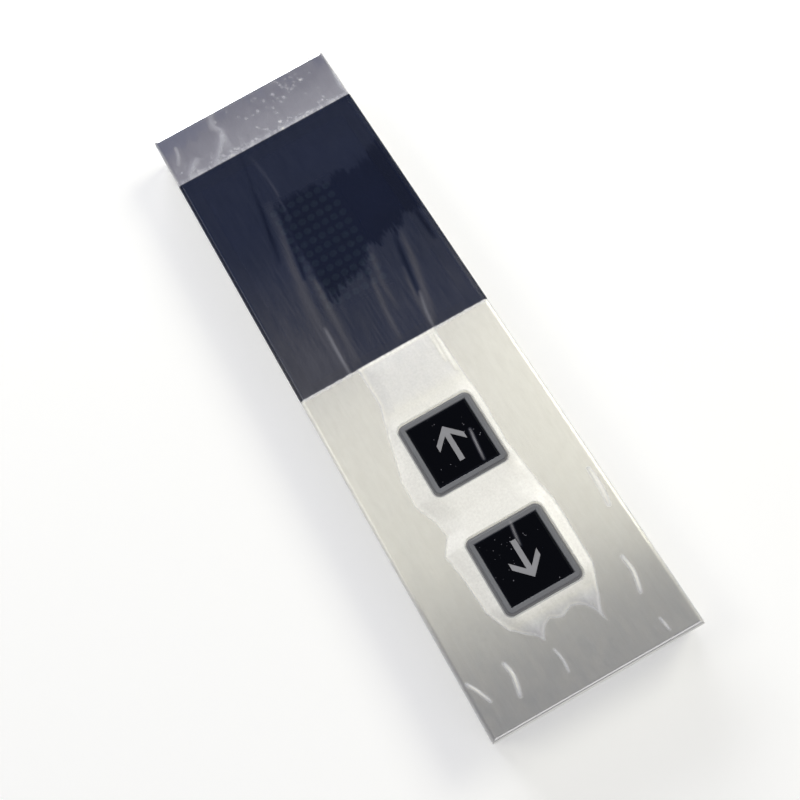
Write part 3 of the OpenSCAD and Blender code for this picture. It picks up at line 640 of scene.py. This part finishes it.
def film_shape(x, y):
    """Height above the face in millimetres and whiteness of the film at points of the face."""
    edge = ragged(x, y, *EDGE_NOISE)
    fine = ragged(x + FINE_SHIFT, y, *FINE_NOISE)
    inside = rounded_least(x - limit(LIFT_LEFT, y), limit(LIFT_RIGHT, y) - x,
                           limit(LIFT_FOOT, x) - y, y - WINDOW_FOOT)
    lifted = inside + LIFT_ROUGHNESS * edge
    out_of_bezel, on_cap = button_places(x, y)
    off_bezel = np.clip(out_of_bezel, 0, None)
    height = film_height(x, inside, off_bezel)

    on_ledge = fade(out_of_bezel, -LEDGE_WIDTH, SOFT_EDGE)
    on_bezel = fade(-off_bezel, -0.5, 1)
    on_window = fade(y, WINDOW_TOP, SOFT_EDGE) * fade(-y, -WINDOW_FOOT, SOFT_EDGE)
    steel = np.where(y < WINDOW_TOP, strip_haze_and_painted_light(x, y, edge, fine),
                     plate_haze_and_highlight(y, lifted, edge, on_bezel))
    # Over the bezels, painted light whitens the film on the outer ledge to lift the shade at the
    # rim's step
    steel = steel * (1 - on_bezel) + (BEZEL_HAZE + LEDGE_PAINTED_LIGHT * on_ledge) * on_bezel
    steel = steel * (1 - on_cap) + CAP_HAZE * on_cap
    haze = on_window * window_haze(x, y, edge, fine)
    haze += (1 - on_window) * np.clip(steel, STEEL_LEAST, 1)

    for crease in CREASES:
        add_crease(x, y, height, haze, crease)
    for patch in BUBBLES:
        add_bubbles(x, y, haze, *patch)
    height += ragged(x, y, *WAVE_NOISE)
    return np.maximum(height, FILM_GAP / 2), np.clip(haze, 0.0, HAZE_LIMIT)


def film_points(across, down):
    """The film's points, row by row and folded over the long edges, and its whiteness at each."""
    half_w = PANEL_W / 2 / MM
    u, y = np.meshgrid(across, down)
    height, haze = film_shape(np.clip(u, -half_w, half_w), y)
    over = np.clip(abs(u) - (half_w - FILM_BEND), 0, None)
    turn = np.clip(over / FILM_BEND, 0, math.pi / 2)
    drop = np.clip(over - FILM_BEND * math.pi / 2, 0, None)
    radius = FILM_BEND + height
    flat_x = np.clip(u, FILM_BEND - half_w, half_w - FILM_BEND)
    x = flat_x + np.sign(u) * radius * np.sin(turn) * (over > 0)
    depth = np.where(over > 0, FILM_BEND - radius * np.cos(turn) + drop, -height)
    points = np.stack([x * MM, FACE_Y + depth * MM, face_high.z - y * MM], 2)
    return points.reshape(-1, 3), haze.astype(np.float32).ravel()


def grid_faces(rows, columns):
    """Four-sided faces between the points of a grid."""
    index = np.arange(rows * columns).reshape(rows, columns)
    corners = [index[:-1, :-1], index[1:, :-1], index[1:, 1:], index[:-1, 1:]]
    return np.stack(corners, 2).reshape(-1, 4)


def make_film():
    """The clear film of a new panel: one thin sheet over the face, folded over its long edges."""
    half_w = PANEL_W / 2 / MM
    across = np.arange(-half_w - FILM_OVERLAP, half_w + FILM_OVERLAP + TINY, FILM_STEP_X)
    down = np.arange(FILM_END, PANEL_H / MM - FILM_END + TINY, FILM_STEP_Y)
    points, haze = film_points(across, down)
    mesh = bpy.data.meshes.new("protective_film")
    mesh.from_pydata(points.tolist(), [], grid_faces(len(down), len(across)).tolist())
    mesh.shade_smooth()
    white = mesh.attributes.new("haze", "FLOAT", "POINT")
    white.data.foreach_set("value", haze)
    mesh.materials.append(clear_film())
    film = bpy.data.objects.new("protective_film", mesh)
    film.visible_shadow = False
    bpy.context.collection.objects.link(film)
    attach(film, "panel")


def clear_film():
    """Thin clear plastic, white where it is creased or lifted; where its haze is thin it takes a
    painted bluish reflection of a cool surround.
    """
    paint = Paint("clear_film")
    haze = paint.node("Attribute", attribute_name="haze").outputs["Fac"]
    grain = paint.noise(even(0.9), detail=4, rough=0.7)
    cloudy = paint.math("MULTIPLY", haze, paint.span(grain, 0.9, 1.1))
    gloss = paint.node("Fresnel")
    fill(gloss, ior=1.11)
    cover = paint.math("MAXIMUM", cloudy, gloss.outputs["Fac"])
    # Painted reflection: the blue of the thinnest haze stands for the cool surround mirrored in the
    # film; the whiter stops are the film's own haze.
    tint = paint.ramp(haze, (0.02, (0.55, 0.65, 1.0)), (0.06, (0.88, 0.87, 0.95)),
                      (0.35, (0.90, 0.91, 1.0)), (0.6, (0.96, 0.95, 0.91)))
    paint.feed("Base Color", tint)
    paint.set(roughness=0.25, specular_ior_level=0.25)
    paint.mix_with(cover, paint.node("BsdfTransparent"), paint.shader)
    return paint.material


def shorten_springs():
    """Gives each spring that a button's joint deforms a mesh of its own."""
    for joint in frame["record"]["behaviour"]["joints"]:
        for soft in joint["deforming_nodes"]:
            springs = frame["nodes"][soft["node"]]
            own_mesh(springs)


def wall_white():
    """Pale paint that looks white to the camera, and is clear from behind."""
    paint = Paint("wall")
    paint.set(base_color=(WALL_WHITE,) * 3 + (1.0,), roughness=0.9, specular_ior_level=0.0)
    paint.set(emission_color=(*WHITE, 1.0))
    seen = paint.node("LightPath")
    looked_at = paint.math("ADD", seen.outputs["Is Camera Ray"], seen.outputs["Is Glossy Ray"])
    looked_at = paint.math("ADD", looked_at, seen.outputs["Is Transmission Ray"])
    paint.feed("Emission Strength", paint.math("MULTIPLY", looked_at, WALL_GLOW))
    side = paint.node("NewGeometry")
    paint.mix_with(side.outputs["Backfacing"], paint.shader, paint.node("BsdfTransparent"))
    return paint.material


def corners_at(x, z):
    """The corners of an upright rectangle in the wall, from half its sides."""
    return [(-x, WALL_CLEAR, -z), (x, WALL_CLEAR, -z), (x, WALL_CLEAR, z), (-x, WALL_CLEAR, z)]


def make_wall():
    """A pale wall round the panel, seen from its front only, open behind the panel."""
    hole = corners_at(PANEL_W / 2 - WALL_INSET, PANEL_H / 2 - WALL_INSET)
    points = corners_at(WALL_REACH, WALL_REACH) + hole
    faces = [(i, (i + 1) % 4, (i + 1) % 4 + 4, i + 4) for i in range(4)]
    mesh = bpy.data.meshes.new("wall")
    mesh.from_pydata(points, [], faces)
    mesh.materials.append(wall_white())
    wall = bpy.data.objects.new("wall", mesh)
    bpy.context.collection.objects.link(wall)


def make_world():
    """A dim surround that lights the panel, and the plain white that is seen behind it."""
    world = bpy.data.worlds.new("surround")
    bpy.context.scene.world = world
    world.use_nodes = True
    surround = Nodes(world.node_tree)
    look = surround.node("TexCoord")
    towards = surround.node("SeparateXYZ")
    surround.link(look.outputs["Generated"], towards.inputs["Vector"])
    sky = world.node_tree.nodes["Background"]
    fill(sky, strength=WORLD_STRENGTH)
    surround.link(surround.ramp(towards.outputs["Z"], *WORLD_BLEND), sky.inputs["Color"])
    white = surround.node("Background")
    fill(white, color=(*WHITE, 1.0), strength=1.0)
    seen = surround.node("LightPath")
    glossy, through = seen.outputs["Is Glossy Ray"], seen.outputs["Is Transmission Ray"]
    mirrored = surround.math("ADD", glossy, through)
    behind = surround.math("GREATER_THAN", towards.outputs["Y"], WORLD_FORWARD)
    mirrored = surround.math("MULTIPLY", mirrored, behind)
    shown = surround.math("ADD", mirrored, seen.outputs["Is Camera Ray"])
    surround.mix(shown, sky.outputs["Background"], white.outputs["Background"], "World Output")


def softbox(name, at, aim, size, radiance, tint):
    """A rectangular lamp of a given brightness, unseen by the camera."""
    lamp = bpy.data.lights.new(name, "AREA")
    lamp.shape = "RECTANGLE"
    lamp.size, lamp.size_y = size
    lamp.energy = radiance * math.pi * size[0] * size[1]
    lamp.color = tint
    box = bpy.data.objects.new(name, lamp)
    bpy.context.collection.objects.link(box)
    box.location = at
    box.rotation_euler = (Vector(aim) - Vector(at)).to_track_quat("-Z", "Y").to_euler()
    box.visible_camera = False


def make_camera():
    lens = bpy.data.cameras.new("camera")
    lens.lens = CAMERA_LENS
    lens.shift_x = CAMERA_SHIFT_X
    lens.clip_start = CAMERA_NEAR
    camera = bpy.data.objects.new("camera", lens)
    bpy.context.collection.objects.link(camera)
    level = (CAMERA_AIM - CAMERA_AT).to_track_quat("-Z", "Y").to_matrix().to_4x4()
    roll = Matrix.Rotation(CAMERA_ROLL, 4, "Z")
    camera.matrix_world = Matrix.Translation(CAMERA_AT) @ level @ roll
    bpy.context.scene.camera = camera


make_camera()
dress_nodes()
make_film()
shorten_springs()
make_wall()
make_world()
for lamp_name, lamp_values in LAMPS.items():
    softbox(lamp_name, *lamp_values)
bpy.context.scene.view_settings.view_transform = "Standard"

bpy.context.view_layer.update()
